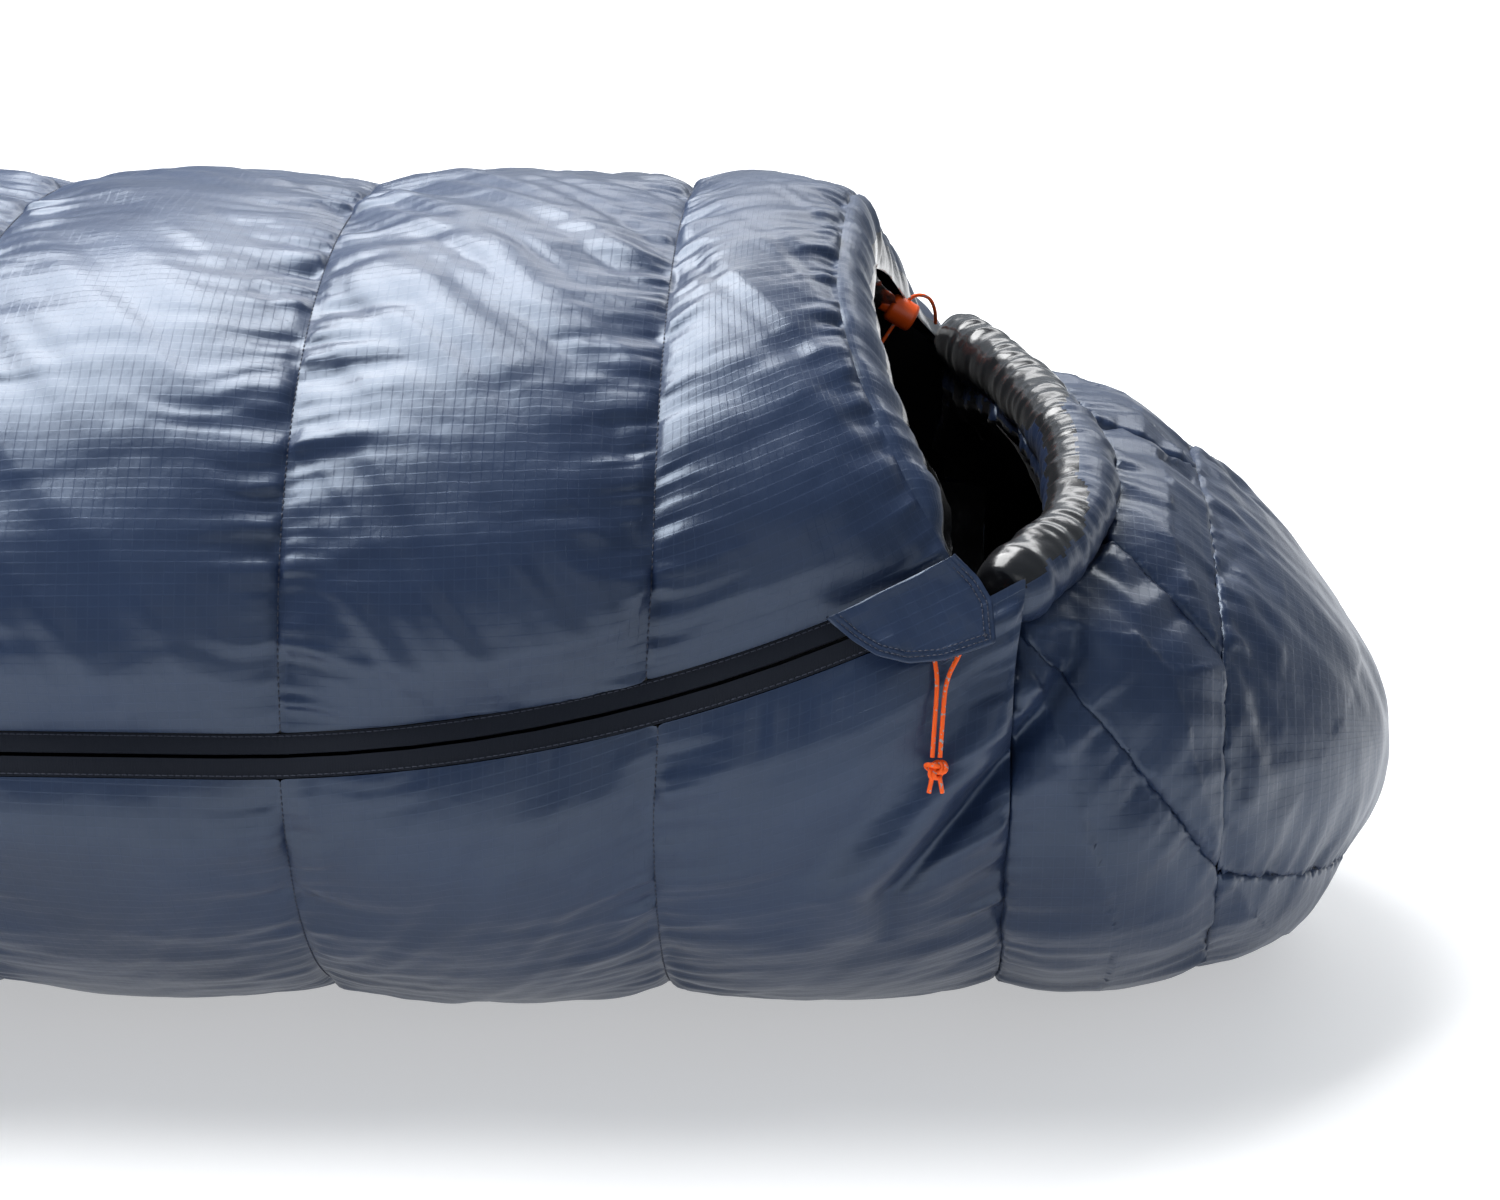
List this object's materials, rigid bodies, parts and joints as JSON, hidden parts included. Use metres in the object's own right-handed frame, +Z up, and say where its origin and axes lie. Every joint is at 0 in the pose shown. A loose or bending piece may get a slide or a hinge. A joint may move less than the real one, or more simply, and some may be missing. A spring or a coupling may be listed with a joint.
{
  "type": "sleeping bag",
  "caption": "Hooded down sleeping bag with a rectangular foot: puffed baffles, side zip with flap and pull cord, lid that folds open, shaped hood with rim and cord lock.",
  "frame": {"origin": "centre of the underside, on the floor", "axes": "+X towards the hood, -Y the side with the zip, +Z up"},
  "size_m": [2.0506, 0.5924, 0.4182],
  "materials": {
    "shell": "glossy ripstop nylon",
    "lining": "glossy taffeta",
    "netting": "fine netting",
    "zip_tape": "woven tape",
    "zip_coil": "nylon monofilament",
    "zip_slider": "lacquered",
    "steel": "plain",
    "lock": "moulded",
    "cord": "braided"
  },
  "bodies": {
    "root": {"baffle_walls_base": "netting", "base_baffle_01": "shell", "base_baffle_02": "shell", "base_baffle_03": "shell", "base_baffle_04": "shell", "base_baffle_05": "shell", "base_baffle_06": "shell", "base_baffle_07": "shell", "base_baffle_08": "shell", "base_baffle_09": "shell", "base_baffle_10": "shell", "base_foot": "shell", "cord_lock_body": "lock", "cord_lock_spring": "steel", "draft_tube_foot": "lining", "draft_tube_side": "lining", "drawcord": "cord", "drawcord_knot": "cord", "hood_back": "shell", "hood_crown_far": "shell", "hood_crown_near": "shell", "hood_neck_far": "shell", "hood_neck_near": "shell", "hood_rim": "shell", "hood_side_far": "shell", "hood_side_near": "shell", "hood_under": "shell", "lining_base": "lining", "lining_hood": "lining", "zip_coil_lower": "zip_coil", "zip_stop_foot": "steel", "zip_stop_lower": "steel", "zip_tape_lower": "zip_tape"},
    "lid": {"top_baffle_01": "shell", "top_baffle_02": "shell", "top_baffle_03": "shell", "top_baffle_04": "shell", "top_baffle_05": "shell", "top_baffle_06": "shell", "top_baffle_07": "shell", "top_baffle_08": "shell", "top_baffle_09": "shell", "top_baffle_10": "shell", "top_foot": "shell", "lining_top": "lining", "baffle_walls_top": "netting", "zip_tape_upper": "zip_tape", "zip_coil_upper": "zip_coil", "zip_stop_upper": "steel"},
    "slider": {"zip_slider": "zip_slider"},
    "puller": {"zip_puller": "zip_slider", "pull_cord": "cord", "pull_cord_knot": "cord"},
    "flap": {"zip_flap": "shell"},
    "button": {"cord_lock_button": "lock"}
  },
  "joints": [
    {"name": "lid_fold", "type": "hinge", "parent": "root", "child": "lid", "pos_m": [0, 0.306, 0.197], "axis": [-1, 0, 0], "range_deg": [0, 170]},
    {"name": "zip_run", "type": "hinge", "parent": "root", "child": "slider", "pos_m": [0.44, 0.06725, 0.8555], "axis": [0, 0.8779, -0.4789], "range_deg": [0, 23], "deforming": ["pull_cord", "pull_cord_knot"]},
    {"name": "puller_swing", "type": "hinge", "parent": "slider", "child": "puller", "pos_m": [0.774, -0.26003, 0.26897], "axis": [-0.8953, -0.2133, -0.391], "range_deg": [0, 12]},
    {"name": "flap_lift", "type": "hinge", "parent": "lid", "child": "flap", "pos_m": [0.76297, -0.26544, 0.28034], "axis": [-0.8993, -0.2095, -0.384], "range_deg": [0, 150]},
    {"name": "lock_press", "type": "slide", "parent": "root", "child": "button", "axis": [0.8645, 0, -0.5026], "range_m": [0, 0.003], "stiffness_N_per_m": 300, "deforming": ["cord_lock_spring"]}
  ]
}
